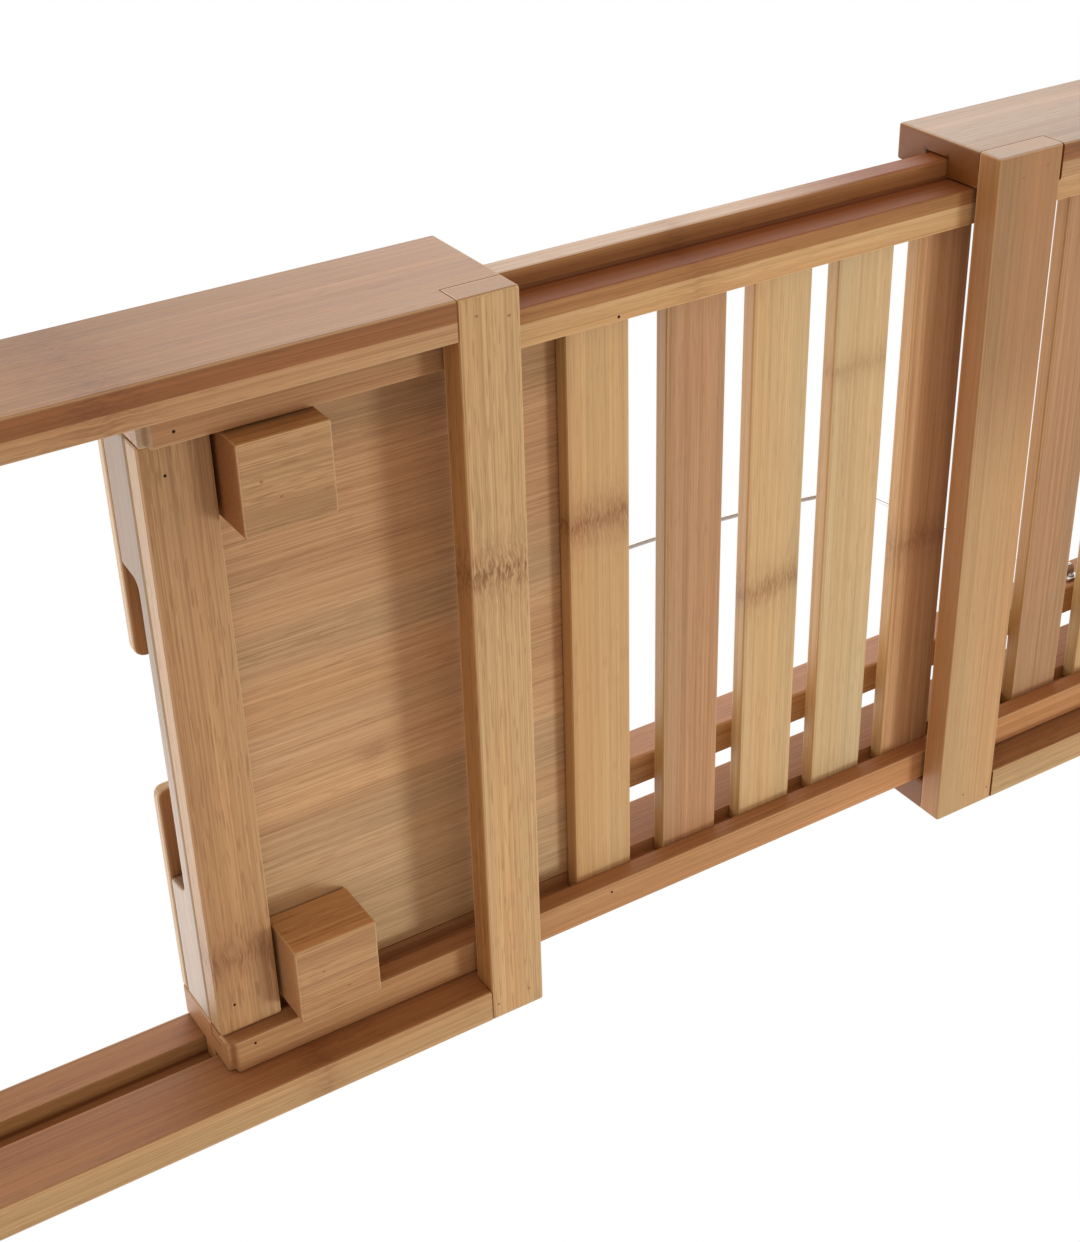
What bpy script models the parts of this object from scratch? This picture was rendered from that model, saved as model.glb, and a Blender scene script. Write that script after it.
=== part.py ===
"""Extending bath caddy in bamboo: a slatted tray that slides inside two end frames.

The tray's side rails carry a tongue that runs in a groove in the frames' rails. Blocks
under each end of the tray stop the frame's crossbar. A board at the tray's left end holds
a wine glass by its foot. A bar near the back makes the slot for a tablet, and a folding
wire hoop on it holds a book.

Metres, +Z up. +X runs along the bath rim to rim, -Y is the bather's side. The origin is
at the middle of the footprint, at the height of the surface that the caddy stands on.
"""

import math

import bmesh
import bpy
from mathutils import Vector

# Overall sizes
frame_width = 0.230
frame_height = 0.043
frame_length = 0.375
tray_length = 0.473

# Gap between glued or nailed faces, running clearance of the slide, reach of cutters
seat_gap = 0.0003
slide_gap = 0.0004
overrun = 0.004

# Softened edges, and the larger chamfer at the ends of the tray's rails
edge_round = 0.0008
edge_steps = 2
rail_end_chamfer = 0.0020

# Side rails of the frames and of the tray
frame_rail_thickness = 0.011
tray_rail_thickness = 0.011
tray_rail_bottom = 0.0106

# Tongue on the tray's rails and the groove it runs in
groove_bottom = 0.0214
groove_height = 0.0094
groove_depth = 0.0060
tongue_height = 0.0080
tongue_tip_gap = 0.0005

# Crossbar under each frame's inner end
left_crossbar_width = 0.0176
right_crossbar_width = 0.0240
crossbar_thickness = 0.0085

# End rail of each frame
end_rail_thickness = 0.011

# How far each frame covers the tray in the photographed pose
left_cover = 0.0970
right_cover = 0.2183

# Slats, the groove that they are housed in, and the thin panels above their level
slat_count = 8
slat_width = 0.0202
slat_thickness = 0.0056
slat_bottom = 0.0172
slat_gap = 0.0096
first_slat_gap = 0.0124
slat_seat_depth = 0.0045
panel_thickness = 0.0032
panel_lap = 0.0060

# Bottom bar and end board that close the tray at each end
end_bar_width = 0.0188
end_bar_bottom = 0.0150
end_board_thickness = 0.0095

# Stop blocks under the tray's ends
block_size = 0.0254
block_bottom = 0.0040
block_bar_gap = 0.0014
front_block_inset = 0.0010
back_block_inset = 0.0036

# Wine-glass board, its slot and the notch in the end board below it
glass_board_thickness = 0.0041
glass_board_length = 0.1090
slot_mouth_width = 0.0430
slot_mouth_depth = 0.0120
slot_taper_depth = 0.0230
slot_stem_width = 0.0140
slot_stem_length = 0.0340
slot_corner_radius = 0.0030
notch_width = 0.1015
notch_slant = 0.0010
notch_sill = 0.0056
notch_corner_radius = 0.0030

# Partitions across the tray
partition_thickness = 0.0090
partition_lip = 0.0040

# Book bar along the back of the tray
book_bar_width = 0.0108
book_bar_height = 0.0140
tablet_slot_width = 0.0173

# Folding wire hoop, a little right of the tray's middle, and the clips that hold its feet
wire_diameter = 0.0020
hoop_end_margin = 0.0176
hoop_shift = 0.0040
hoop_height = 0.1220
hoop_crown_radius = 0.3070
hoop_corner_radius = 0.0160
hoop_foot_bend_radius = 0.0040
hoop_foot_length = 0.0100
hoop_pivot_height = 0.0365
hoop_lean = math.radians(6.0)
clip_width = 0.0056
clip_thickness = 0.0008
clip_play = 0.0002
clip_flange = 0.0030
bend_steps = 5
crown_steps = 10
arc_steps = 8
smooth_angle = math.radians(40.0)

# Places that follow from the sizes above
half_width = frame_width / 2
tray_front = -half_width + frame_rail_thickness + slide_gap
tray_back = -tray_front
inner_front = tray_front + tray_rail_thickness
inner_back = -inner_front
slat_top = slat_bottom + slat_thickness
panel_bottom = slat_top + seat_gap
panel_top = panel_bottom + panel_thickness
end_bar_top = slat_top
glass_board_bottom = frame_height - glass_board_thickness
tongue_bottom = groove_bottom + seat_gap
tongue_length = slide_gap + groove_depth - tongue_tip_gap
book_bar_back = inner_back - tablet_slot_width
book_bar_front = book_bar_back - book_bar_width
book_bar_bottom = frame_height - book_bar_height
tray_middle = tray_length / 2
partition_near = glass_board_length + seat_gap - partition_lip
partition_far = partition_near + partition_thickness
hoop_width = tray_length - 2 * (partition_far + hoop_end_margin + hoop_foot_length)
hoop_middle = tray_middle + hoop_shift
left_frame_inner_end = left_cover
right_frame_inner_end = tray_length - right_cover
rest_left_end = left_frame_inner_end - frame_length
rest_right_end = right_frame_inner_end + frame_length
tray_origin_x = -(rest_left_end + rest_right_end) / 2
slat_field_length = slat_count * slat_width + (slat_count - 2) * slat_gap + first_slat_gap
slat_field_start = tray_middle - slat_field_length / 2
wire_radius = wire_diameter / 2
hoop_pivot_offset = (
    wire_radius / math.cos(hoop_lean)
    + (frame_height - hoop_pivot_height) * math.tan(hoop_lean)
    + seat_gap
)
hoop_pivot_y = book_bar_front - hoop_pivot_offset

# Colours and finishes: colour, roughness, metallic
finishes = {
    "frame_bamboo": ((0.53, 0.35, 0.20, 1.0), 0.45, 0.0),
    "tray_bamboo": ((0.50, 0.32, 0.17, 1.0), 0.45, 0.0),
    "slat_light": ((0.58, 0.40, 0.21, 1.0), 0.45, 0.0),
    "slat_brown": ((0.46, 0.28, 0.15, 1.0), 0.45, 0.0),
    "panel_bamboo": ((0.50, 0.31, 0.16, 1.0), 0.5, 0.0),
    "wire_chrome": ((0.62, 0.62, 0.62, 1.0), 0.2, 1.0),
}


def clear_scene():
    for item in list(bpy.data.objects):
        bpy.data.objects.remove(item, do_unlink=True)


def make_material(name):
    colour, roughness, metallic = finishes[name]
    material = bpy.data.materials.new(name)
    material.use_nodes = True
    shader = material.node_tree.nodes["Principled BSDF"]
    shader.inputs["Base Color"].default_value = colour
    shader.inputs["Roughness"].default_value = roughness
    shader.inputs["Metallic"].default_value = metallic
    return material


def make_empty(name, location):
    empty = bpy.data.objects.new(name, None)
    empty.location = location
    bpy.context.collection.objects.link(empty)
    return empty


def link_mesh(name, bm, parent, location, material):
    """Turn a bmesh into an object that sits at location under its parent."""
    bmesh.ops.recalc_face_normals(bm, faces=bm.faces)
    mesh = bpy.data.meshes.new(name)
    bm.to_mesh(mesh)
    bm.free()
    item = bpy.data.objects.new(name, mesh)
    item.parent = parent
    item.location = location
    if material:
        mesh.materials.append(material)
    bpy.context.collection.objects.link(item)
    return item


def soften(item, width=edge_round, limit="ANGLE"):
    """Round the item's edges. Cuts that are added afterwards keep crisp edges."""
    bevel = item.modifiers.new("softened_edges", "BEVEL")
    bevel.width = width
    bevel.segments = edge_steps
    bevel.limit_method = limit


def box_mesh(size):
    bm = bmesh.new()
    bmesh.ops.create_cube(bm, size=1.0)
    bmesh.ops.scale(bm, vec=Vector(size), verts=bm.verts)
    return bm


def span_middle(span):
    return (span[0] + span[1]) / 2


def span_size(span):
    return abs(span[1] - span[0])


def make_board(name, parent, x_span, y_span, z_span, material):
    """A straight piece between three pairs of places, with its origin at its middle."""
    spans = (x_span, y_span, z_span)
    bm = box_mesh([span_size(span) for span in spans])
    return link_mesh(name, bm, parent, [span_middle(span) for span in spans], material)


def profile_mesh(outline, axis, span):
    """Extrude an outline along X, Y or Z over span; outline is in the other two axes."""
    bm = bmesh.new()
    low, high = min(span), max(span)

    def place(point):
        values = list(point)
        values.insert(axis, low)
        return Vector(values)

    ring = [bm.verts.new(place(point)) for point in outline]
    face = bm.faces.new(ring)
    extruded = bmesh.ops.extrude_face_region(bm, geom=[face])
    moved = [part for part in extruded["geom"] if isinstance(part, bmesh.types.BMVert)]
    shift = Vector((0, 0, 0))
    shift[axis] = high - low
    bmesh.ops.translate(bm, vec=shift, verts=moved)
    return bm


def make_profile(name, parent, outline, axis, span, origin, material):
    """An extruded piece whose object sits at origin."""
    bm = profile_mesh(outline, axis, span)
    bmesh.ops.translate(bm, vec=-Vector(origin), verts=bm.verts)
    return link_mesh(name, bm, parent, origin, material)


def cut(item, cutter):
    """Take the cutter's shape out of the item."""
    cutter.hide_render = True
    cutter.display_type = "WIRE"
    boolean = item.modifiers.new("cut_" + cutter.name, "BOOLEAN")
    boolean.operation = "DIFFERENCE"
    boolean.solver = "EXACT"
    boolean.object = cutter


def cut_box(item, label, parent, x_span, y_span, z_span):
    cutter = make_board(item.name + "_" + label, parent, x_span, y_span, z_span, None)
    cut(item, cutter)


def arc(centre, radius, start, end, steps):
    """Points on an arc in a plane, angles in radians, both ends included."""
    points = []
    for step in range(steps + 1):
        angle = start + (end - start) * step / steps
        across = centre[0] + radius * math.cos(angle)
        up = centre[1] + radius * math.sin(angle)
        points.append((across, up))
    return points


def mirrored(points):
    """The same outline on the other side of its first axis, in reverse order."""
    return [(x, -y) for x, y in reversed(points)]


def side_spans(front):
    """Y spans of a frame rail, its two cuts and a tray rail's slat groove on one side."""
    sign = -1 if front else 1
    return {
        "frame_rail": (sign * half_width, sign * (half_width - frame_rail_thickness)),
        "groove": (
            sign * (half_width - frame_rail_thickness - overrun),
            sign * (half_width - frame_rail_thickness + groove_depth),
        ),
        "lap": (
            sign * (half_width + overrun),
            sign * (half_width - frame_rail_thickness - overrun),
        ),
        "slat_groove": (
            sign * (inner_back - overrun),
            sign * (inner_back + slat_seat_depth),
        ),
    }


def make_frame(side, outward, inner_end, crossbar_width, material):
    """One end frame: two grooved rails, the crossbar let into them and the end rail.

    The crossbar is crisp where it meets the rails and rounded where it is free.
    """
    body = make_empty(side + "_frame_body", (tray_origin_x + inner_end, 0, 0))

    def reach(near, far):
        return (outward * near, outward * far)

    rail_x = reach(0, frame_length)
    end_rail_start = frame_length - end_rail_thickness
    for front, place in ((True, "front"), (False, "back")):
        spans = side_spans(front)
        name = side + "_frame_rail_" + place
        rail = make_board(
            name, body, rail_x, spans["frame_rail"], (0, frame_height), material
        )
        soften(rail)
        cut_box(
            rail,
            "groove",
            body,
            reach(-overrun, end_rail_start - seat_gap),
            spans["groove"],
            (groove_bottom, groove_bottom + groove_height),
        )
        cut_box(
            rail,
            "lap",
            body,
            reach(-overrun, crossbar_width + seat_gap),
            spans["lap"],
            (-overrun, crossbar_thickness + seat_gap),
        )
    crossbar = make_board(
        side + "_frame_crossbar",
        body,
        reach(0, crossbar_width),
        (-half_width, half_width),
        (0, crossbar_thickness),
        material,
    )
    weights = crossbar.data.attributes.new("bevel_weight_edge", "FLOAT", "EDGE")
    for edge in crossbar.data.edges:
        ends = [crossbar.data.vertices[index].co for index in edge.vertices]
        below = all(end.z < 0 for end in ends)
        inner = all(end.x * outward < 0 for end in ends) and ends[0].z != ends[1].z
        weights.data[edge.index].value = 1 if below or inner else 0
    soften(crossbar, limit="WEIGHT")
    end_rail_half = half_width - frame_rail_thickness - seat_gap
    end_rail = make_board(
        side + "_frame_end_rail",
        body,
        reach(end_rail_start, frame_length),
        (-end_rail_half, end_rail_half),
        (0, frame_height),
        material,
    )
    soften(end_rail)
    return body


def make_tray_rail(place, front, body, material):
    """A side rail of the tray, with its tongue outside and the slats' groove inside."""
    sign = -1 if front else 1
    outer = sign * tray_back
    inner = sign * inner_back
    tip = outer + sign * tongue_length
    outline = [
        (inner, tray_rail_bottom),
        (outer, tray_rail_bottom),
        (outer, tongue_bottom),
        (tip, tongue_bottom),
        (tip, tongue_bottom + tongue_height),
        (outer, tongue_bottom + tongue_height),
        (outer, frame_height),
        (inner, frame_height),
    ]
    middle = (tray_middle, (inner + outer) / 2, (tray_rail_bottom + frame_height) / 2)
    bm = profile_mesh(outline, 0, (0, tray_length))
    lowest = min(vert.co.z for vert in bm.verts)
    end_edges = [
        edge
        for edge in bm.edges
        if edge.verts[0].co.x == edge.verts[1].co.x
        and edge.verts[0].co.z == lowest
        and edge.verts[1].co.z == lowest
    ]
    bmesh.ops.bevel(
        bm, geom=end_edges, offset=rail_end_chamfer, segments=edge_steps, affect="EDGES"
    )
    bmesh.ops.translate(bm, vec=-Vector(middle), verts=bm.verts)
    rail = link_mesh("tray_rail_" + place, bm, body, middle, material)
    soften(rail)
    cut_box(
        rail,
        "slat_groove",
        body,
        (-overrun, tray_length + overrun),
        side_spans(front)["slat_groove"],
        (slat_bottom - seat_gap, slat_top + seat_gap),
    )


def make_slats(body, light, brown):
    """Cross slats, housed in the rails; the second, fifth and seventh are darker strips."""
    reach_y = inner_back + slat_seat_depth - seat_gap
    start = slat_field_start
    for number in range(1, slat_count + 1):
        material = brown if number in (2, 5, 7) else light
        slat = make_board(
            "slat_%d" % number,
            body,
            (start, start + slat_width),
            (-reach_y, reach_y),
            (slat_bottom, slat_top),
            material,
        )
        soften(slat)
        start += slat_width + (first_slat_gap if number == 1 else slat_gap)


def end_place(side, distance):
    """A place along the tray, measured inward from its left or right end."""
    return distance if side == "left" else tray_length - distance


def make_panels(body, material):
    """Thin closed panels that lie on the end bars and lap onto the first and last slat."""
    reach_y = inner_back - seat_gap
    near = end_board_thickness + seat_gap
    far = slat_field_start + panel_lap
    for side in ("left", "right"):
        span = (end_place(side, near), end_place(side, far))
        panel = make_board(
            "panel_" + side, body, span, (-reach_y, reach_y), (panel_bottom, panel_top), material
        )
        soften(panel, edge_round / 2)


def make_end_bar(side, body, material):
    """Flat bar under the tray's end; the end board and the panel both rest on it."""
    reach_y = inner_back - seat_gap
    bar = make_board(
        "end_bar_" + side,
        body,
        (end_place(side, 0), end_place(side, end_bar_width)),
        (-reach_y, reach_y),
        (end_bar_bottom, end_bar_top),
        material,
    )
    soften(bar)


def notch_outline():
    """Half of the notch's outline in Y and Z: slanted side and round lower corner."""
    sill = end_bar_top + seat_gap + notch_sill
    half_top = notch_width / 2
    half_sill = half_top - notch_slant
    corner = arc(
        (half_sill - notch_corner_radius, sill + notch_corner_radius),
        notch_corner_radius,
        -math.pi / 2,
        0,
        arc_steps // 2,
    )
    return corner + [(half_top, glass_board_bottom), (half_top, frame_height + overrun)]


def make_end_boards(body, material):
    """End boards: the left one is notched for the glass foot, the right one is full height."""
    reach_y = inner_back - seat_gap
    bottom = end_bar_top + seat_gap
    left = make_board(
        "end_board_left",
        body,
        (0, end_board_thickness),
        (-reach_y, reach_y),
        (bottom, glass_board_bottom - seat_gap),
        material,
    )
    half = notch_outline()
    outline = [(-y, z) for y, z in reversed(half)] + half
    cutter = make_profile(
        "end_board_left_notch",
        body,
        outline,
        0,
        (-overrun, end_board_thickness + overrun),
        (0, 0, bottom),
        None,
    )
    cut(left, cutter)
    soften(left)
    right = make_board(
        "end_board_right",
        body,
        (tray_length - end_board_thickness, tray_length),
        (-reach_y, reach_y),
        (bottom, frame_height),
        material,
    )
    soften(right)


def slot_outline():
    """The glass slot in plan: wide mouth, taper and a parallel run with a round end."""
    half_mouth = slot_mouth_width / 2
    half_stem = slot_stem_width / 2
    radius = slot_corner_radius
    taper_start = slot_mouth_depth
    stem_start = taper_start + slot_taper_depth
    stem_end = stem_start + slot_stem_length
    lip = arc((radius, half_mouth + radius), radius, math.pi, 3 * math.pi / 2, arc_steps // 2)
    taper = [(taper_start, half_mouth), (stem_start, half_stem)]
    side = [(-overrun, half_mouth + radius)] + lip + taper
    end = arc((stem_end, 0), half_stem, math.pi / 2, -math.pi / 2, arc_steps)
    return side + end + mirrored(side)


def make_glass_board(body, material):
    """Board over the left end that holds a wine glass by its foot."""
    reach_y = inner_back - seat_gap
    board = make_board(
        "glass_board",
        body,
        (0, glass_board_length),
        (-reach_y, reach_y),
        (glass_board_bottom, frame_height),
        material,
    )
    cutter = make_profile(
        "glass_board_slot",
        body,
        slot_outline(),
        2,
        (glass_board_bottom - overrun, frame_height + overrun),
        (0, 0, frame_height),
        None,
    )
    cut(board, cutter)
    soften(board)


def make_partitions(body, material):
    """Upright strips across the tray: the left one is rebated for the glass board."""
    reach_y = inner_back - seat_gap
    bottom = panel_top + seat_gap
    lip_start = glass_board_length + seat_gap
    outline = [
        (partition_near, bottom),
        (partition_far, bottom),
        (partition_far, frame_height),
        (lip_start, frame_height),
        (lip_start, glass_board_bottom - seat_gap),
        (partition_near, glass_board_bottom - seat_gap),
    ]
    middle = ((partition_near + partition_far) / 2, 0, bottom)
    left = make_profile("partition_left", body, outline, 1, (-reach_y, reach_y), middle, material)
    soften(left)
    right = make_board(
        "partition_right",
        body,
        (tray_length - partition_far, tray_length - partition_near),
        (-reach_y, reach_y),
        (bottom, frame_height),
        material,
    )
    soften(right)


def make_blocks(body, material):
    """Blocks under the panels, one pair at each end, that stop a frame's crossbar."""
    start = end_bar_width + block_bar_gap
    front_edge = inner_front + front_block_inset
    front = (front_edge, front_edge + block_size)
    back_edge = inner_back - back_block_inset
    back = (back_edge - block_size, back_edge)
    for side in ("left", "right"):
        span = (end_place(side, start), end_place(side, start + block_size))
        for place, y_span in (("front", front), ("back", back)):
            name = "foot_block_%s_%s" % (side, place)
            z_span = (block_bottom, panel_bottom - seat_gap)
            block = make_board(name, body, span, y_span, z_span, material)
            soften(block)


def make_book_bar(body, material):
    """Bar between the partitions, a tablet's thickness in front of the back rail."""
    bar = make_board(
        "book_bar",
        body,
        (partition_far + seat_gap, tray_length - partition_far - seat_gap),
        (book_bar_front, book_bar_back),
        (book_bar_bottom, frame_height),
        material,
    )
    soften(bar)


def hoop_points():
    """Centre line of the hoop in its own plane, from one foot's end to the other's."""
    half = hoop_width / 2
    foot = hoop_foot_bend_radius
    foot_bend = arc((half + foot, foot), foot, -math.pi / 2, -math.pi, bend_steps)
    crown_centre = hoop_height - hoop_crown_radius
    corner_x = half - hoop_corner_radius
    centre_distance = hoop_crown_radius - hoop_corner_radius
    corner_rise = math.sqrt(centre_distance ** 2 - corner_x ** 2)
    corner_angle = math.atan2(corner_rise, corner_x)
    corner = arc(
        (corner_x, crown_centre + corner_rise), hoop_corner_radius, 0, corner_angle, bend_steps
    )
    crown = arc((0, crown_centre), hoop_crown_radius, corner_angle, math.pi - corner_angle, crown_steps)
    right = [(half + hoop_foot_length, 0)] + foot_bend + corner
    left = [(-x, z) for x, z in reversed(right)]
    return right + crown[1:-1] + left


def make_hoop(pivot, material):
    """Bent wire that stands up behind a book and folds forward into the tray."""
    curve = bpy.data.curves.new("book_hoop", "CURVE")
    curve.dimensions = "3D"
    curve.bevel_depth = wire_radius
    curve.bevel_resolution = 3
    curve.use_fill_caps = True
    spline = curve.splines.new("POLY")
    points = hoop_points()
    spline.points.add(len(points) - 1)
    for point, (x, z) in zip(spline.points, points):
        point.co = (x, 0, z, 1)
    hoop = bpy.data.objects.new("book_hoop", curve)
    hoop.parent = pivot
    hoop.rotation_euler = (-hoop_lean, 0, 0)
    curve.materials.append(material)
    bpy.context.collection.objects.link(hoop)


def clip_outline():
    """A saddle clip in Y and Z about the wire: two flanges on the bar and an arch between."""
    inner = wire_radius + clip_play
    outer = inner + clip_thickness
    seat = hoop_pivot_offset - seat_gap
    flange_face = seat - clip_thickness
    flange_end = outer + clip_flange
    outer_arch = arc((0, 0), outer, -math.pi / 2, -3 * math.pi / 2, arc_steps)
    inner_arch = arc((0, 0), inner, math.pi / 2, 3 * math.pi / 2, arc_steps)
    return (
        [(seat, -flange_end), (flange_face, -flange_end), (flange_face, -outer)]
        + outer_arch
        + [(flange_face, outer), (flange_face, flange_end), (seat, flange_end), (seat, inner)]
        + inner_arch
        + [(seat, -inner)]
    )


def make_clips(body, material):
    """One saddle clip over each foot of the hoop, fixed to the front of the book bar."""
    middle = hoop_width / 2 + (hoop_foot_length + hoop_foot_bend_radius) / 2
    half = clip_width / 2
    outline = clip_outline()
    for side, sign in (("left", -1), ("right", 1)):
        name = "hoop_clip_" + side
        clip = make_profile(name, body, outline, 0, (-half, half), (0, 0, 0), material)
        clip.location = (hoop_middle + sign * middle, hoop_pivot_y, hoop_pivot_height)
        clip.data.shade_smooth()
        clip.data.set_sharp_from_angle(angle=smooth_angle)


def build():
    clear_scene()
    frame_bamboo = make_material("frame_bamboo")
    tray_bamboo = make_material("tray_bamboo")
    slat_light = make_material("slat_light")
    slat_brown = make_material("slat_brown")
    panel_bamboo = make_material("panel_bamboo")
    wire_chrome = make_material("wire_chrome")

    make_frame("left", -1, left_frame_inner_end, left_crossbar_width, frame_bamboo)
    make_frame("right", 1, right_frame_inner_end, right_crossbar_width, frame_bamboo)

    tray = make_empty("tray_body", (tray_origin_x, 0, 0))
    make_tray_rail("front", True, tray, tray_bamboo)
    make_tray_rail("back", False, tray, tray_bamboo)
    make_slats(tray, slat_light, slat_brown)
    make_panels(tray, panel_bamboo)
    for side in ("left", "right"):
        make_end_bar(side, tray, tray_bamboo)
    make_end_boards(tray, tray_bamboo)
    make_glass_board(tray, panel_bamboo)
    make_partitions(tray, tray_bamboo)
    make_blocks(tray, tray_bamboo)
    make_book_bar(tray, tray_bamboo)

    make_clips(tray, wire_chrome)

    pivot_place = (tray_origin_x + hoop_middle, hoop_pivot_y, hoop_pivot_height)
    make_hoop(make_empty("hoop_pivot", pivot_place), wire_chrome)


build()
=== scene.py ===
"""Looks for the extending bamboo bath caddy: bamboo, wire, plugs, brads, screws and studio."""

import math

import bmesh
import bpy
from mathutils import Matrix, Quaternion, Vector


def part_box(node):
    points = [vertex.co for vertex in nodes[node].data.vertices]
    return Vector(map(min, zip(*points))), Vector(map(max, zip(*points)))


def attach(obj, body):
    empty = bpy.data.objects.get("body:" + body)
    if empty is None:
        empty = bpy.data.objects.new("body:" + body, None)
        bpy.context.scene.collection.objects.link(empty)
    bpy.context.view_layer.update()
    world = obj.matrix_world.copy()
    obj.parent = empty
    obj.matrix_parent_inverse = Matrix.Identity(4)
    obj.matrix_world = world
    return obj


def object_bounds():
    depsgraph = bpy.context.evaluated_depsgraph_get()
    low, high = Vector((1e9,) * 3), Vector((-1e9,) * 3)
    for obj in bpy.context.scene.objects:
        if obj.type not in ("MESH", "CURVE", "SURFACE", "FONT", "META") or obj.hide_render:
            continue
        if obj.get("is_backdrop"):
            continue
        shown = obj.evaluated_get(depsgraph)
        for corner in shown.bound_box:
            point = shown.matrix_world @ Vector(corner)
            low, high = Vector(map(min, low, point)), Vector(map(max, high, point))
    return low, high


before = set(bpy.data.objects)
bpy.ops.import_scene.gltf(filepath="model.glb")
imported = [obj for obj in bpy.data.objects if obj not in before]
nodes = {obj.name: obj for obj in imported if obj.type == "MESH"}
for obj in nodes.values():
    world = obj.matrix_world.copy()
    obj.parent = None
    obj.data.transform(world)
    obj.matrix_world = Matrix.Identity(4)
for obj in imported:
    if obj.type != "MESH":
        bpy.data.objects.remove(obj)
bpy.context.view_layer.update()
scene = bpy.context.scene

# Camera: the photograph's place, turn and field of view, with the long side as sensor
camera_place = (-0.312502, -0.295851, -0.389525)
camera_turn = (0.2562861, 0.9259878, 0.086878, -0.2632797)
sensor_width = 36.0
lens_length = 57.43

# Bamboo tones as sRGB; some carry painted light and shade, as noted
tones = {
    "rail_outer": (167, 126, 83),
    "rail_brown": (136, 88, 51),
    "rail_tan": (174, 136, 97),
    "rail_back": (178, 141, 97),
    "rail_inner": (156, 110, 70),
    "rail_end": (150, 112, 82),
    # The right frame's outer faces are paler as a painted sheen, and the inner ends of its rails
    # darker as a painted shade
    "right_outer_painted_sheen": (177, 154, 133),
    "right_end_painted_shade": (126, 76, 28),
    "crossbar": (192, 156, 111),
    "crossbar_side": (176, 129, 80),
    "right_crossbar": (156, 117, 80),
    "right_crossbar_side": (176, 130, 84),
    "tray_brown": (158, 112, 71),
    "tray_tan": (191, 155, 111),
    # The tray's front rail is darker at its left end as a painted shade, and its lower outer face is
    # darkened partly as a painted shade under the tongue
    "tray_left": (166, 128, 92),
    "tray_side": (140, 84, 46),
    "tray_back": (178, 132, 90),
    "tray_back_side": (168, 120, 80),
    "slat_1": (192, 156, 110),
    "slat_2": (173, 133, 97),
    "slat_3": (197, 167, 123),
    "slat_4": (194, 169, 128),
    "slat_5": (184, 143, 104),
    "slat_6": (196, 160, 114),
    "slat_7": (166, 130, 95),
    "slat_side": (190, 156, 106),
    "slat_side_brown": (172, 133, 80),
    "panel": (178, 140, 101),
    "board_outer": (146, 122, 96),
    "board_edge": (192, 166, 130),
    "glass_board": (170, 126, 86),
    "end_bar": (163, 125, 86),
    "end_bar_side": (190, 158, 114),
    "block": (170, 131, 90),
    # The blocks' sides are lighter, painting light into their shade, and their ends darker as a
    # painted shade beside the end bars, deeper on the front blocks
    "block_side": (194, 146, 96),
    "block_end": (156, 104, 62),
    "block_end_back": (184, 142, 100),
    # The tongues' tips are paler as a painted sheen
    "tray_tip_painted_sheen": (206, 184, 164),
    "tray_back_end": (170, 124, 84),
    "tray_end": (172, 150, 126),
    "partition": (176, 132, 92),
    # The far tones are lighter towards the back of the caddy, painted light where more light falls;
    # the end board's far outer tone is a painted sheen
    "panel_far": (188, 152, 112),
    "right_crossbar_far": (178, 141, 98),
    "board_outer_far": (186, 172, 158),
    "end_bar_far": (176, 138, 97),
}
# Worn edges, lightened also as a painted highlight
wear_and_highlight_colour = (222, 188, 140)

# Linear factors on a board's tone
mark_tint = (0.48, 0.33, 0.26, 1.0)
# Painted shade for inner corners
corner_shade_tint = (0.40, 0.27, 0.18, 1.0)
bundle_tint = (0.50, 0.40, 0.30, 1.0)
fibre_dark, fibre_light = (0.66, 0.59, 0.51, 1.0), (1.30, 1.33, 1.38, 1.0)
hue_warm, hue_cool = (1.04, 0.975, 0.92, 1.0), (0.97, 1.015, 1.04, 1.0)

# Fibre noises: frequency along and across the grain per metre, detail, shift and roughness
broad_fibres = (3.0, 60.0, 1.0, 5.0, 0.5)
streak_fibres = (6.0, 780.0, 2.0, 0.0, 0.65)
fine_fibres = (26.0, 2700.0, 1.0, 11.0, 0.5)
hue_fibres = (4.0, 45.0, 1.0, 17.0, 0.5)
thread_fibres = (3.5, 1700.0, 0.0, 9.0, 0.5)
dash_fibres = (130.0, 1900.0, 0.0, 3.0, 0.5)
speck_fibres = (330.0, 1900.0, 1.0, 29.0, 0.6)
fibre_lacunarity = 2.4
seed_steps = (7.31, 3.17, 5.73)

# Shares that broad, streak and fine fibres have in a board's contrast
broad_weight, streak_weight, fine_weight = 0.8, 1.3, 0.9
# Where each noise starts and ends its effect, and how deep threads and dashes go
hue_edges = (0.3, 0.7)
thread_edges, thread_depth = (0.53, 0.64), 0.36
dash_edges, dash_depth = (0.60, 0.72), 0.55
speck_edges = (0.38, 0.62)
# End grain: share of the contrast and of the dark bundles that it loses
end_calm, end_plain = 0.55, 0.6

# Culm marks: how they fade, wander along the board and push the fibres aside
mark_power = 1.3
mark_wander = 1.2
waver_frequency = 140.0
waver_push = 0.0050
knot_width_share = 0.6

# Painted shade in inner corners, and worn outer edges that also carry a painted highlight
corner_shade_waver = 0.0008
corner_shade_start_share = 0.4
corner_shade_strength = 0.8
wear_and_highlight_reach = (0.0001, 0.0008)
wear_and_highlight_strength = 0.38

# Surface of the varnished bamboo
side_from, side_to = 0.6, 0.85
end_softness = 0.2
rough_base, rough_span = 0.42, 0.20
streak_relief = 0.7
bump_strength, bump_distance = 0.20, 0.00018
bamboo_ior = 1.42


def linear(colour):
    """sRGB 0 to 255 as a linear colour with alpha."""
    values = []
    for channel in colour:
        c = channel / 255
        values.append(c / 12.92 if c <= 0.04045 else ((c + 0.055) / 1.055) ** 2.4)
    return (*values, 1.0)


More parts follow.
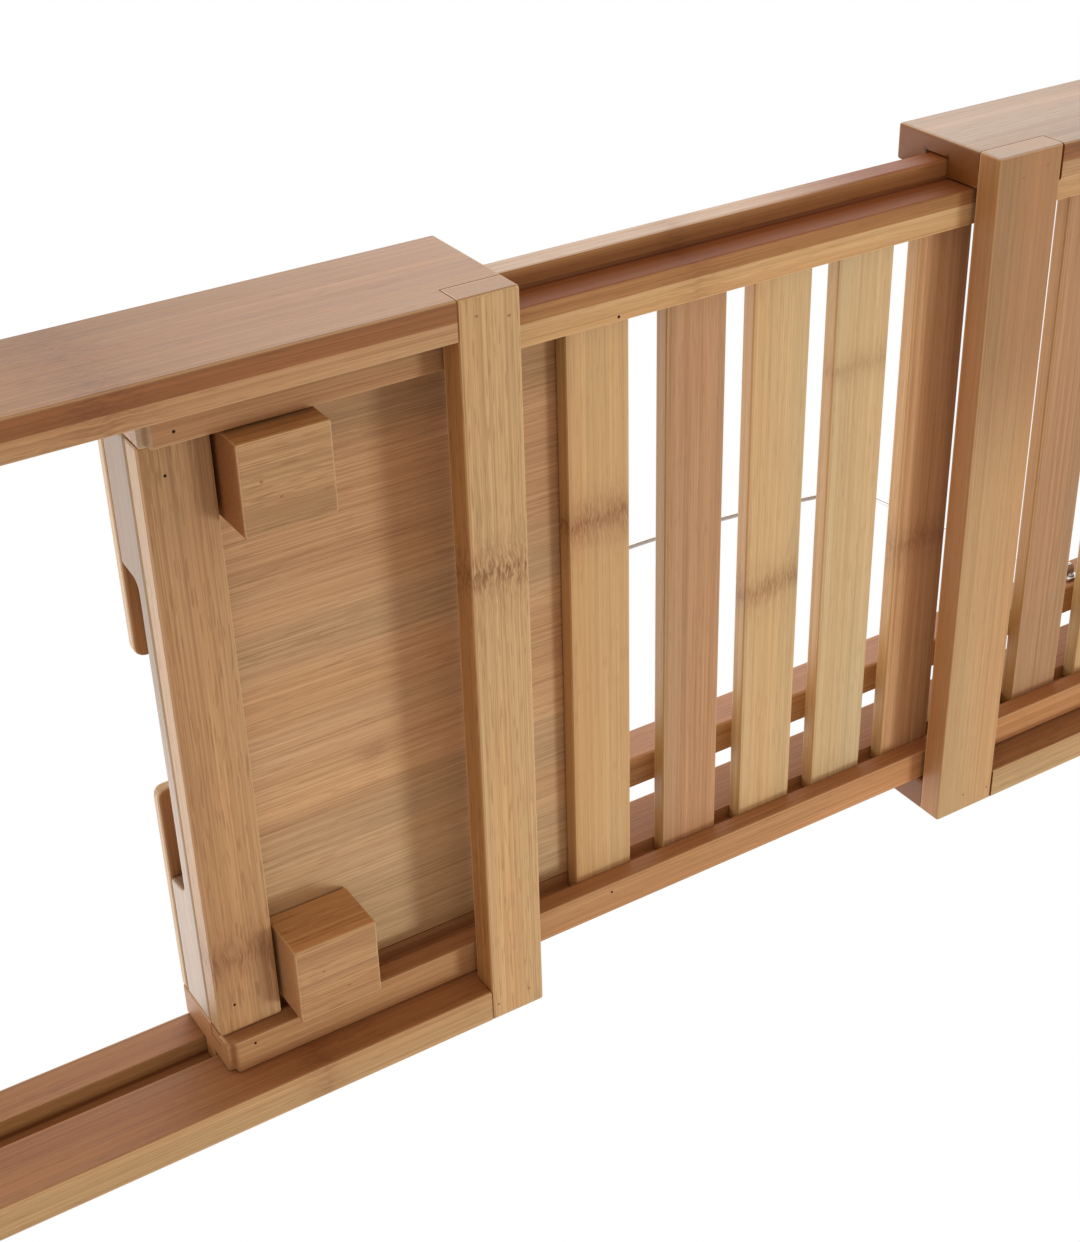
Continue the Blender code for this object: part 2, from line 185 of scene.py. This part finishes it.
class Shader:
    """Short ways to add nodes to one material and link them."""

    def __init__(self, name):
        self.material = bpy.data.materials.new(name)
        self.material.use_nodes = True
        self.tree = self.material.node_tree
        self.principled = self.tree.nodes["Principled BSDF"]

    def put(self, socket, value):
        if isinstance(value, bpy.types.NodeSocket):
            self.tree.links.new(value, socket)
        elif value is not None:
            socket.default_value = value

    def coordinates(self, kind="Object"):
        return self.tree.nodes.new("ShaderNodeTexCoord").outputs[kind]

    def split(self, vector):
        node = self.tree.nodes.new("ShaderNodeSeparateXYZ")
        self.put(node.inputs[0], vector)
        return [node.outputs[0], node.outputs[1], node.outputs[2]]

    def math(self, operation, a, b=None, c=None, clamp=False):
        node = self.tree.nodes.new("ShaderNodeMath")
        node.operation = operation
        node.use_clamp = clamp
        for socket, value in zip(node.inputs, (a, b, c)):
            self.put(socket, value)
        return node.outputs[0]

    def combine(self, x, y, z):
        node = self.tree.nodes.new("ShaderNodeCombineXYZ")
        for socket, value in zip(node.inputs, (x, y, z)):
            self.put(socket, value)
        return node.outputs[0]

    def noise(self, vector, scale, detail=1.0, roughness=0.5, lacunarity=2.0):
        node = self.tree.nodes.new("ShaderNodeTexNoise")
        for key, number in (
            ("Scale", scale),
            ("Detail", detail),
            ("Roughness", roughness),
            ("Lacunarity", lacunarity),
        ):
            node.inputs[key].default_value = number
        self.put(node.inputs["Vector"], vector)
        return node.outputs["Fac"]

    def mix(self, factor, a, b, blend="MIX"):
        node = self.tree.nodes.new("ShaderNodeMix")
        node.data_type = "RGBA"
        node.blend_type = blend
        self.put(node.inputs[0], factor)
        self.put(node.inputs[6], a)
        self.put(node.inputs[7], b)
        return node.outputs[2]

    def smooth(self, value, low, high, out_low=0.0, out_high=1.0):
        node = self.tree.nodes.new("ShaderNodeMapRange")
        node.interpolation_type = "SMOOTHSTEP"
        self.put(node.inputs["Value"], value)
        for key, number in (
            ("From Min", low),
            ("From Max", high),
            ("To Min", out_low),
            ("To Max", out_high),
        ):
            node.inputs[key].default_value = number
        return node.outputs["Result"]

    def bump(self, height, strength, distance):
        node = self.tree.nodes.new("ShaderNodeBump")
        node.inputs["Strength"].default_value = strength
        node.inputs["Distance"].default_value = distance
        self.put(node.inputs["Height"], height)
        return node.outputs["Normal"]


def bamboo(
    node, grain, face, side, end, contrast, lines, seed, bands=(), side_bands=(), end_bands=(),
    marks=(), knots=(), shaded_corners=(), pitch=1.0, end_from=0.6, gloss=0.5, mark_floor=0.55,
):
    """A board's bamboo: fibres along its grain, culm marks, glued strips, painted shade in inner
    corners and worn edges with a painted highlight.

    face, side and end are the tones of its flat faces, edges and end grain.
    contrast and lines are the strengths of the fibres and of the dark bundles among them.
    bands are (axis, place, sign, tone, softness): past place along axis the faces have another
    tone; side_bands and end_bands are the same for the edges and the end grain.
    marks are (place along the grain, half length, strength, slope) over the whole width.
    knots are (place along the grain, place across, half length, strength): small swirls.
    seams are (place across, height, radius): painted shade darkens such an inner corner along the
    grain.
    mark_floor is a mark's strength between its dark specks, pitch scales the fibres' number,
    and faces count as end grain where their normal along the grain passes end_from.
    """
    item = nodes[node] if isinstance(node, str) else node
    corners = [vertex.co for vertex in item.data.vertices]
    low = [min(corner[axis] for corner in corners) for axis in range(3)]
    high = [max(corner[axis] for corner in corners) for axis in range(3)]
    s = Shader("bamboo_" + item.name)
    coordinates = s.coordinates()
    place = s.split(coordinates)
    facing = s.split(s.coordinates("Normal"))
    along, across, up = place[grain], place[1 - grain], place[2]
    on_end = s.smooth(s.math("ABSOLUTE", facing[grain]), end_from, end_from + end_softness)
    on_side = s.smooth(s.math("ABSOLUTE", facing[1 - grain]), side_from, side_to)

    # The culm marks push the fibres sideways and speckle the strip
    waver = s.noise(coordinates, waver_frequency, 1.0)
    mark = None
    for position, half, strength, slope in marks:
        wander = half * mark_wander
        wobble = s.math("MULTIPLY_ADD", waver, wander, -position - wander / 2)
        offset = s.math("ADD", along, wobble)
        if slope:
            offset = s.math("MULTIPLY_ADD", across, slope, offset)
            offset = s.math("ADD", offset, -slope * (low[1 - grain] + high[1 - grain]) / 2)
        ratio = s.math("DIVIDE", offset, half)
        fall = s.math("MULTIPLY", s.math("POWER", s.math("ABSOLUTE", ratio), mark_power), -1.0)
        one = s.math("MULTIPLY", s.math("EXPONENT", fall), strength)
        mark = one if mark is None else s.math("MAXIMUM", mark, one)
    for position, aside, half, strength in knots:
        ratio = s.math("DIVIDE", s.math("ADD", along, -position), half)
        width = s.math("DIVIDE", s.math("ADD", across, -aside), half * knot_width_share)
        far = s.math("MULTIPLY_ADD", width, width, s.math("MULTIPLY", ratio, ratio))
        one = s.math("MULTIPLY", s.math("EXPONENT", s.math("MULTIPLY", far, -1.0)), strength)
        mark = one if mark is None else s.math("MAXIMUM", mark, one)
    if mark is not None:
        push = s.math("MULTIPLY_ADD", waver, waver_push, -waver_push / 2)
        across = s.math("MULTIPLY_ADD", push, mark, across)

    def fibres(kind, spread=1.0):
        lengthways, crossways, detail, shift, roughness = kind
        vector = s.combine(
            s.math("MULTIPLY_ADD", along, lengthways, seed * seed_steps[0] + shift),
            s.math("MULTIPLY_ADD", across, crossways * spread, seed * seed_steps[1] + shift),
            s.math("MULTIPLY_ADD", up, crossways * spread, seed * seed_steps[2]),
        )
        return s.noise(vector, 1.0, detail, roughness, fibre_lacunarity)

    broad = fibres(broad_fibres)
    streak = fibres(streak_fibres, pitch)
    fine = fibres(fine_fibres)
    total = s.math("MULTIPLY_ADD", broad, broad_weight, -broad_weight / 2)
    for strand, weight in ((streak, streak_weight), (fine, fine_weight)):
        total = s.math("MULTIPLY_ADD", strand, weight, s.math("ADD", total, -weight / 2))
    calm = s.math("MULTIPLY_ADD", on_end, -end_calm * contrast, contrast)
    share = s.math("MULTIPLY_ADD", total, calm, 0.5, clamp=True)

    def banded(tone, tone_bands):
        result = linear(tones[tone])
        for axis, boundary, sign, other, softness in tone_bands:
            reach = s.math("MULTIPLY_ADD", place[axis], sign, -sign * boundary)
            result = s.mix(s.smooth(reach, -softness, softness), result, linear(tones[other]))
        return result

    colour = s.mix(on_side, banded(face, bands), banded(side, side_bands))
    colour = s.mix(on_end, colour, banded(end, end_bands))
    colour = s.mix(1.0, colour, s.mix(share, fibre_dark, fibre_light), "MULTIPLY")
    hue = s.smooth(fibres(hue_fibres), *hue_edges)
    colour = s.mix(1.0, colour, s.mix(hue, hue_warm, hue_cool), "MULTIPLY")

    # Long dark bundles, and short dashes where bundles surface
    threads = s.smooth(fibres(thread_fibres, pitch), *thread_edges)
    dashes = s.smooth(fibres(dash_fibres), *dash_edges)
    dark = s.math(
        "MAXIMUM",
        s.math("MULTIPLY", threads, thread_depth * lines),
        s.math("MULTIPLY", dashes, dash_depth * lines),
    )
    dark = s.math("MULTIPLY", dark, s.math("MULTIPLY_ADD", on_end, -end_plain, 1.0))
    colour = s.mix(dark, colour, s.mix(1.0, colour, bundle_tint, "MULTIPLY"))
    if mark is not None:
        spots = s.smooth(fibres(speck_fibres), *speck_edges, mark_floor, 1.0)
        stain = s.mix(1.0, colour, mark_tint, "MULTIPLY")
        colour = s.mix(s.math("MULTIPLY", mark, spots), colour, stain)
    # Painted shade along the board's inner corners
    for middle, height, radius in shaded_corners:
        aside = s.math("POWER", s.math("SUBTRACT", place[1 - grain], middle), 2.0)
        above = s.math("POWER", s.math("SUBTRACT", up, height), 2.0)
        away = s.math("SQRT", s.math("ADD", aside, above))
        away = s.math("MULTIPLY_ADD", streak, corner_shade_waver, s.math("ADD", away, -corner_shade_waver / 2))
        corner_shade = s.smooth(away, radius * corner_shade_start_share, radius, corner_shade_strength, 0.0)
        colour = s.mix(corner_shade, colour, s.mix(1.0, colour, corner_shade_tint, "MULTIPLY"))

    # Worn edges with a painted highlight: the second smallest distance to the board's faces is small
    # there
    gaps = []
    for axis in range(3):
        near = s.math("SUBTRACT", place[axis], low[axis])
        far = s.math("SUBTRACT", high[axis], place[axis])
        gaps.append(s.math("MINIMUM", near, far))
    smaller = s.math("MINIMUM", gaps[0], gaps[1])
    larger = s.math("MAXIMUM", gaps[0], gaps[1])
    second_gap = s.math("MAXIMUM", smaller, s.math("MINIMUM", larger, gaps[2]))
    edge = s.smooth(second_gap, *wear_and_highlight_reach, wear_and_highlight_strength, 0.0)
    colour = s.mix(edge, colour, linear(wear_and_highlight_colour))
    s.put(s.principled.inputs["Base Color"], colour)

    s.put(s.principled.inputs["Roughness"], s.math("MULTIPLY_ADD", fine, rough_span, rough_base))
    relief = s.math("MULTIPLY_ADD", streak, streak_relief, fine)
    s.put(s.principled.inputs["Normal"], s.bump(relief, bump_strength, bump_distance))
    s.principled.inputs["IOR"].default_value = bamboo_ior
    s.principled.inputs["Specular IOR Level"].default_value = gloss
    item.data.materials.clear()
    item.data.materials.append(s.material)


LENGTHWAYS, CROSSWAYS = 0, 1
X, Y = 0, 1
rail_low, rail_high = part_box("left_frame_rail_front")
frame_rail_middle = (rail_low.y + rail_high.y) / 2
tray_low, tray_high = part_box("tray_rail_front")
tray_middle = (tray_low.x + tray_high.x) / 2

# Glue lines and edges where a board's tone changes, in metres from the middle of the caddy
SHARP = 0.00012
frame_outer_skin = 0.1130
tray_strip = 0.0993
# Past this the tongue's tip carries a painted sheen
tongue_tip = 0.1070
# Towards the middle from here, the ends of the right frame's rails carry a painted shade
right_rail_end = 0.2000
rail_chamfer = 0.0019
chamfer_place = tray_low.x + rail_chamfer

# Places and softnesses of slow changes of tone along a board, painted where the light on it changes
right_rail_sheen_fade = (0.2300, 0.080)
crossbar_light_fade = (-0.030, 0.030)
tray_left_shade_fade = (-0.0900, 0.004)
tongue_sheen_fade = (0.0300, 0.030)
panel_light_fade = board_light_fade = (0.0, 0.06)
end_bar_light_fade = (-0.060, 0.03)

# Inner corners along the rails: heights, distance from the middle and radius of the painted shade in
# them
groove_depth, groove_heights, groove_radius = 0.1100, (0.0214, 0.0308), 0.0012
tongue_root, tongue_heights, tongue_radius = 0.1036, (0.0217, 0.0297), 0.0014

# Culm marks: place along the grain, half length, strength and slope
frame_front_mark = (-0.187, 0.013, 0.55, 0.0)
frame_back_mark = (-0.152, 0.006, 0.5, 0.0)
crossbar_mark = (-0.038, 0.0070, 1.0, 0.0)
tray_rail_mark = (-0.017, 0.007, 0.4, 0.0)
end_bar_mark = (-0.0656, 0.009, 0.6, 0.0)
# A knot: place along and across the grain, half length and strength
panel_knot = (0.1172, 0.0214, 0.006, 0.5)
slat_marks = {
    1: (-0.0320, 0.0062, 0.95, 0.04),
    3: (0.0100, 0.0054, 0.75, 0.08),
    4: (-0.0550, 0.0035, 0.40, 0.05),
    5: (0.0130, 0.0060, 0.65, 0.05),
    6: (0.0500, 0.0045, 0.50, 0.08),
    8: (-0.0200, 0.0045, 0.60, 0.10),
}
slat_count = 8
brown_slats = (2, 5, 7)
brown_sided_slats = (2, 7)


# Inner corners at given heights that get painted shade
def corner_shade_lines(place, heights, radius):
    return tuple((place, height, radius) for height in heights)


def band(axis, place, sign, tone, softness=SHARP):
    return axis, place, sign, tone, softness


def fade(axis, reach, tone):
    """A band past a place and with a softness, both from reach."""
    return axis, reach[0], 1, tone, reach[1]


def mirrored(mark, sign):
    return (mark[0] * sign, *mark[1:])


# End frames: their outer tones, crossbar tones, and the crossbars' contrast and lines; the right
# frame's outer tone is paler as a painted sheen
frame_looks = (
    ("left", "rail_outer", "crossbar", 0.6, 0.75),
    ("right", "right_outer_painted_sheen", "right_crossbar", 0.5, 0.3),
)
for number, (side, outer, bar, bar_contrast, bar_lines) in enumerate(frame_looks):
    is_right = number == 1
    # Painted shade on the inner ends of the right frame's rails
    inner_end_painted_shade = (band(X, right_rail_end, -1, "right_end_painted_shade"),) if is_right else ()
    bamboo(
        side + "_frame_rail_front", LENGTHWAYS, "rail_tan", outer, "rail_end",
        contrast=0.8, lines=0.5, seed=1.0 + number,
        bands=(band(Y, frame_rail_middle, -1, "rail_brown"),),
        # On the right frame the painted sheen on the outer faces fades out along the rails
        side_bands=(fade(X, right_rail_sheen_fade, "rail_outer"),), end_bands=inner_end_painted_shade,
        marks=(frame_front_mark,), shaded_corners=corner_shade_lines(-groove_depth, groove_heights, groove_radius),
    )
    bamboo(
        side + "_frame_rail_back", LENGTHWAYS, "rail_back", "rail_inner", "rail_end",
        contrast=0.8, lines=0.5, seed=3.0 + number,
        side_bands=(band(Y, frame_outer_skin, 1, "rail_outer"),), end_bands=inner_end_painted_shade,
        marks=(frame_back_mark,), shaded_corners=corner_shade_lines(groove_depth, groove_heights, groove_radius),
    )
    bamboo(
        side + "_frame_crossbar", CROSSWAYS, bar, bar + "_side", outer,
        contrast=bar_contrast, lines=bar_lines, seed=5.0 + number,
        # Painted light: the right crossbar is lighter towards the back
        bands=(fade(Y, crossbar_light_fade, "right_crossbar_far"),) if is_right else (),
        marks=() if is_right else (crossbar_mark,), pitch=1.5, mark_floor=0.2,
    )
    bamboo(
        side + "_frame_end_rail", CROSSWAYS, "rail_tan", "rail_outer", "rail_end",
        contrast=0.8, lines=0.5, seed=7.0 + number,
    )

# Sliding tray
bamboo(
    "tray_rail_front", LENGTHWAYS, "tray_tan", "tray_side", "tray_end",
    contrast=0.7, lines=0.4, seed=9.0,
    # Painted shade at the rail's left end
    bands=(
        band(Y, -tray_strip, -1, "tray_brown"),
        band(X, tray_left_shade_fade[0], -1, "tray_left", tray_left_shade_fade[1]),
        band(X, chamfer_place, -1, "tray_end"),
    ),
    # Painted sheen on the tongue's tip, fading out along the rail, over a face darkened partly as a
    # painted shade under the tongue
    side_bands=(
        band(Y, -tongue_tip, -1, "tray_tip_painted_sheen"),
        fade(X, tongue_sheen_fade, "tray_side"),
        band(X, chamfer_place, -1, "tray_end"),
    ),
    marks=(tray_rail_mark,), shaded_corners=corner_shade_lines(-tongue_root, tongue_heights, tongue_radius),
    end_from=0.25, gloss=0.25,
)
bamboo(
    "tray_rail_back", LENGTHWAYS, "tray_back", "tray_back_side", "tray_back_end",
    contrast=0.7, lines=0.4, seed=10.0,
    bands=(band(X, chamfer_place, -1, "tray_back_end"),),
    # Painted sheen on the tongue's tip
    side_bands=(
        band(Y, tongue_tip, 1, "tray_tip_painted_sheen"),
        band(X, chamfer_place, -1, "tray_back_end"),
    ),
    shaded_corners=corner_shade_lines(tongue_root, tongue_heights, tongue_radius), end_from=0.25, gloss=0.25,
)
for number in range(1, slat_count + 1):
    tone = "slat_%d" % (number if number < slat_count else 1)
    side_tone = "slat_side_brown" if number in brown_sided_slats else "slat_side"
    bamboo(
        "slat_%d" % number, CROSSWAYS, tone, side_tone, side_tone,
        contrast=0.75 if number in brown_slats else 0.5, lines=0.35, seed=20.0 + number,
        marks=(slat_marks[number],) if number in slat_marks else (),
    )
for number, side in enumerate(("left", "right")):
    sign = 1 if number else -1
    bamboo(
        "panel_" + side, LENGTHWAYS, "panel", "crossbar_side", "panel",
        contrast=0.95, lines=0.5, seed=31.0 + number,
        # Painted light: the panels are lighter towards the back
        bands=(fade(Y, panel_light_fade, "panel_far"),), knots=(mirrored(panel_knot, sign),), pitch=1.15,
    )
    bamboo(
        "end_bar_" + side, CROSSWAYS, "end_bar", "end_bar_side", "end_bar",
        contrast=0.8, lines=0.8, seed=37.0 + number,
        # Painted light: the end bars are lighter towards the back
        bands=(fade(Y, end_bar_light_fade, "end_bar_far"),), marks=(mirrored(end_bar_mark, sign),),
    )
    bamboo(
        "end_board_" + side, CROSSWAYS, "board_edge", ("board_outer", "end_bar")[number], "tray_end",
        contrast=0.7, lines=0.3, seed=43.0 + number,
        # Painted sheen on the left end board's outer face towards the back
        side_bands=() if number else (fade(Y, board_light_fade, "board_outer_far"),),
    )
    bamboo(
        "partition_" + side, CROSSWAYS, "partition", "partition", "partition",
        contrast=0.8, lines=0.4, seed=49.0 + number,
    )
    # Painted shade on the blocks' ends beside the end bars
    for index, (name, end) in enumerate((("front", "block_end"), ("back", "block_end_back"))):
        bamboo(
            "foot_block_%s_%s" % (side, name), LENGTHWAYS, "block", "block_side", end,
            contrast=0.8, lines=0.8, seed=55.0 + 3 * number + index,
        )
bamboo(
    "glass_board", CROSSWAYS, "glass_board", "board_edge", "board_edge",
    contrast=0.9, lines=0.4, seed=71.0,
)
bamboo("book_bar", LENGTHWAYS, "tray_tan", "tray_back", "tray_end", contrast=0.8, lines=0.4, seed=73.0)


# Plugs that close the slat grooves at the ends of the tray's rails
plug_length = 0.0040
plug_height = (0.0170, 0.0230)
plug_depth = (0.0928, 0.0970)
plug_inset = 0.0001
plug_round = 0.0003


def groove_plugs():
    """Four small blocks with rounded edges, flush with the ends of the tray's rails."""
    bm = bmesh.new()
    for outer, inward in ((tray_low.x + plug_inset, 1), (tray_high.x - plug_inset, -1)):
        for across in (-1, 1):
            corners = bmesh.ops.create_cube(bm, size=1.0)["verts"]
            middle = Vector((
                outer + inward * plug_length / 2,
                across * sum(plug_depth) / 2,
                sum(plug_height) / 2,
            ))
            size = (plug_length, plug_depth[1] - plug_depth[0], plug_height[1] - plug_height[0])
            for corner in corners:
                corner.co = middle + Vector([a * b for a, b in zip(corner.co, size)])
    bmesh.ops.bevel(bm, geom=bm.edges[:], offset=plug_round, segments=2, affect="EDGES")
    return bm


# Metal and putty: frequency of their marks, spread of the roughness, and bump
metal_mark_frequency = 1400.0
metal_rough_span = 0.18
metal_bump = (0.05, 0.0001)
filler_grain_frequency = 3000.0
filler_dark, filler_light = (126, 84, 52), (168, 122, 80)
filler_rough = 0.6
filler_bump = (0.3, 0.0001)


def metal(name, light, dark, rough):
    """Drawn or stamped metal with faint marks."""
    s = Shader(name)
    marks = s.noise(s.coordinates(), metal_mark_frequency, 2.0)
    s.principled.inputs["Metallic"].default_value = 1.0
    s.put(s.principled.inputs["Base Color"], s.mix(marks, linear(dark), linear(light)))
    s.put(s.principled.inputs["Roughness"], s.math("MULTIPLY_ADD", marks, metal_rough_span, rough))
    s.put(s.principled.inputs["Normal"], s.bump(marks, *metal_bump))
    return s.material


wire_metal = metal("wire_metal", (204, 201, 196), (178, 174, 169), 0.38)
screw_metal = metal("screw_metal", (190, 186, 178), (150, 146, 140), 0.20)
brad_metal = metal("brad_metal", (70, 50, 36), (34, 24, 18), 0.45)
for name in ("book_hoop", "hoop_clip_left", "hoop_clip_right"):
    nodes[name].data.materials.clear()
    nodes[name].data.materials.append(wire_metal)


def filler():
    """Wood putty over a sunk brad."""
    s = Shader("filler")
    grains = s.noise(s.coordinates(), filler_grain_frequency, 2.0)
    s.put(s.principled.inputs["Base Color"], s.mix(grains, linear(filler_dark), linear(filler_light)))
    s.principled.inputs["Roughness"].default_value = filler_rough
    s.put(s.principled.inputs["Normal"], s.bump(grains, *filler_bump))
    return s.material


filler_wood = filler()


def lathe(bm, origin, axis, rings, segments, material_index=0, squeeze=(1.0, 1.0)):
    """Closed turned solid on origin along axis; rings are (radius, height) from base to crown.

    squeeze scales it along two directions across the axis. Returns the rings' vertices.
    """
    turn = Vector(axis).to_track_quat("Z", "Y")
    loops = []
    for radius, height in rings:
        loop = []
        for step in range(segments):
            angle = 2 * math.pi * step / segments
            wide, narrow = squeeze[0] * radius * math.cos(angle), squeeze[1] * radius * math.sin(angle)
            loop.append(bm.verts.new(Vector(origin) + turn @ Vector((wide, narrow, height))))
        loops.append(loop)
    faces = [bm.faces.new(list(reversed(loops[0]))), bm.faces.new(loops[-1])]
    for below, above in zip(loops, loops[1:]):
        for step in range(segments):
            after = (step + 1) % segments
            faces.append(bm.faces.new((below[step], below[after], above[after], above[step])))
    for face in faces:
        face.material_index = material_index
        face.smooth = True
    return loops


def piece(name, bm, body, materials):
    """Turn a bmesh into a visible piece that rides on a body."""
    mesh = bpy.data.meshes.new(name)
    bm.to_mesh(mesh)
    bm.free()
    for material in materials:
        mesh.materials.append(material)
    item = bpy.data.objects.new(name, mesh)
    scene.collection.objects.link(item)
    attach(item, body)
    return item


plugs = piece("groove_plugs", groove_plugs(), "tray", ())
bamboo(
    plugs, LENGTHWAYS, "tray_back_side", "tray_back_side", "tray_back_end",
    contrast=0.8, lines=0.4, seed=81.0,
)

# Brads, seen from below: (x, y, height of the face, whether putty covers it)
brad_radius = 0.00045
brad_segments = 12
covered_squeeze = (1.25, 0.8)
brad_rings = (
    (brad_radius, -0.0004),
    (brad_radius, 0.0),
    (0.8 * brad_radius, 0.00005),
    (0.4 * brad_radius, 0.00008),
)
right_brad_shift = 0.0060
tray_brads = [
    (-0.1676, -0.0961, 0.0106, False),
    (-0.1678, 0.0950, 0.0106, False),
    (-0.0428, -0.0942, 0.0106, False),
    (-0.0466, 0.0957, 0.0106, False),
    (-0.1696, -0.0833, 0.0150, False),
    (-0.1708, 0.0825, 0.0150, False),
    (-0.1500, -0.0805, 0.0040, True),
    (-0.1451, -0.0751, 0.0040, True),
    (-0.1475, 0.0736, 0.0040, True),
    (-0.1403, 0.0822, 0.0040, True),
]
left_brads = [(-0.0914, -0.1098, 0.0, True), (-0.0822, -0.1078, 0.0, True)]
left_brads += [(-0.0839, 0.1085, 0.0, True), (-0.0945, 0.1095, 0.0, True)]
right_brads = [(-x + right_brad_shift, y, height, covered) for x, y, height, covered in left_brads]
tray_brads += [(2 * tray_middle - x, y, height, covered) for x, y, height, covered in tray_brads]
for body, places in (("tray", tray_brads), ("left_frame", left_brads), ("right_frame", right_brads)):
    bm = bmesh.new()
    for x, y, height, covered in places:
        squeeze = covered_squeeze if covered else (1.0, 1.0)
        lathe(bm, (x, y, height), (0, 0, -1), brad_rings, brad_segments, int(covered), squeeze)
    piece("brads_" + body, bm, body, (brad_metal, filler_wood))

# Cross-head screws that hold the clips, two in each
screw_radius = 0.00115
screw_inset = 0.0016
screw_sink = 0.0008
screw_segments = 24
# Each ring of the head: share of the radius, and height
screw_rings = (
    (1.0, -0.0006), (1.0, 0.0002), (0.93, 0.00042), (0.78, 0.00056),
    (0.60, 0.00064), (0.40, 0.00068), (0.20, 0.00070),
)
recess_depth = 0.00034
bm = bmesh.new()
for side in ("left", "right"):
    low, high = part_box("hoop_clip_" + side)
    for height in (low.z + screw_inset, high.z - screw_inset):
        origin = Vector(((low.x + high.x) / 2, high.y - screw_sink, height))
        rings = [(share * screw_radius, rise) for share, rise in screw_rings]
        loops = lathe(bm, origin, (0, -1, 0), rings, screw_segments)
        for ring in loops[-3:]:
            for step in range(screw_segments):
                if step % (screw_segments // 4) in (0, 1, screw_segments // 4 - 1):
                    ring[step].co.y += recess_depth
piece("clip_screws", bm, "tray", (screw_metal,))

# Studio: white world, a floor that only shows from above, lamps below and above
fill_colour, fill_strength = (1.0, 0.83, 0.70, 1.0), 0.74
floor_radius = 3.0
floor_drop = 0.0002
floor_fade = (0.9, 2.6)
floor_grey = (0.86, 0.86, 0.86, 1.0)
floor_rough, floor_gloss = 0.8, 0.1
lamp_target = Vector((0.0, 0.0, 0.02))
world = bpy.data.worlds.new("studio")
scene.world = world
world.use_nodes = True
tree = world.node_tree
tree.nodes.clear()
path = tree.nodes.new("ShaderNodeLightPath")
seen = tree.nodes.new("ShaderNodeMath")
seen.operation = "MAXIMUM"
tree.links.new(path.outputs["Is Camera Ray"], seen.inputs[0])
clear = tree.nodes.new("ShaderNodeMath")
clear.operation = "MAXIMUM"
tree.links.new(path.outputs["Is Glossy Ray"], clear.inputs[0])
tree.links.new(path.outputs["Is Transmission Ray"], clear.inputs[1])
tree.links.new(clear.outputs[0], seen.inputs[1])
fill = tree.nodes.new("ShaderNodeBackground")
fill.inputs["Color"].default_value = fill_colour
fill.inputs["Strength"].default_value = fill_strength
white = tree.nodes.new("ShaderNodeBackground")
white.inputs["Strength"].default_value = 1.0
white.inputs["Color"].default_value = (1.0, 1.0, 1.0, 1.0)
choose = tree.nodes.new("ShaderNodeMixShader")
tree.links.new(seen.outputs[0], choose.inputs[0])
tree.links.new(fill.outputs[0], choose.inputs[1])
tree.links.new(white.outputs[0], choose.inputs[2])
output = tree.nodes.new("ShaderNodeOutputWorld")
tree.links.new(choose.outputs[0], output.inputs["Surface"])


def floor():
    """A pale disc under the caddy that fades into the white world."""
    bm = bmesh.new()
    bmesh.ops.create_circle(bm, cap_ends=True, segments=96, radius=floor_radius)
    mesh = bpy.data.meshes.new("floor")
    bm.to_mesh(mesh)
    bm.free()
    item = bpy.data.objects.new("floor", mesh)
    item.location = (0, 0, -floor_drop)
    scene.collection.objects.link(item)
    s = Shader("floor_white")
    length = s.tree.nodes.new("ShaderNodeVectorMath")
    length.operation = "LENGTH"
    s.put(length.inputs[0], s.coordinates())
    fade = s.smooth(length.outputs["Value"], *floor_fade)
    behind = s.tree.nodes.new("ShaderNodeNewGeometry").outputs["Backfacing"]
    gone = s.math("MAXIMUM", fade, behind)
    s.principled.inputs["Base Color"].default_value = floor_grey
    s.principled.inputs["Roughness"].default_value = floor_rough
    s.principled.inputs["Specular IOR Level"].default_value = floor_gloss
    s.put(s.principled.inputs["Alpha"], s.math("SUBTRACT", 1.0, gone))
    mesh.materials.append(s.material)
    item.visible_shadow = False
    item.visible_diffuse = False
    item.visible_glossy = False
    item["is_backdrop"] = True


floor()


def lamp(name, direction, distance, size, power, colour=(1, 1, 1)):
    """A square soft box that looks at the caddy's middle from a direction."""
    data = bpy.data.lights.new(name, "AREA")
    data.shape = "SQUARE"
    data.size = size
    data.energy = power
    data.color = colour
    item = bpy.data.objects.new(name, data)
    towards = Vector(direction).normalized()
    item.location = lamp_target + towards * distance
    item.rotation_mode = "QUATERNION"
    item.rotation_quaternion = towards.to_track_quat("Z", "Y")
    item.visible_camera = False
    scene.collection.objects.link(item)
    return item


key = lamp("key_below", (0.43, 0.31, -0.85), 1.4, 0.30, 9.6, (0.82, 0.97, 1.06))
key.visible_glossy = False
lamp("front_above", (0.44, -0.52, 0.73), 1.6, 1.2, 12.0)
lamp("back_above", (-0.44, 0.52, 0.73), 1.8, 1.2, 9.0)
lamp("left_above", (-0.80, 0.05, 0.60), 1.8, 1.2, 9.0)


def camera():
    """The photograph's camera."""
    data = bpy.data.cameras.new("camera")
    data.sensor_fit = "AUTO"
    data.sensor_width = sensor_width
    data.lens = lens_length
    data.clip_start = 0.01
    data.clip_end = 20.0
    item = bpy.data.objects.new("camera", data)
    item.rotation_mode = "QUATERNION"
    item.rotation_quaternion = Quaternion(camera_turn)
    item.location = camera_place
    scene.collection.objects.link(item)
    scene.camera = item


camera()
scene.view_settings.view_transform = "Standard"

low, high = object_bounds()
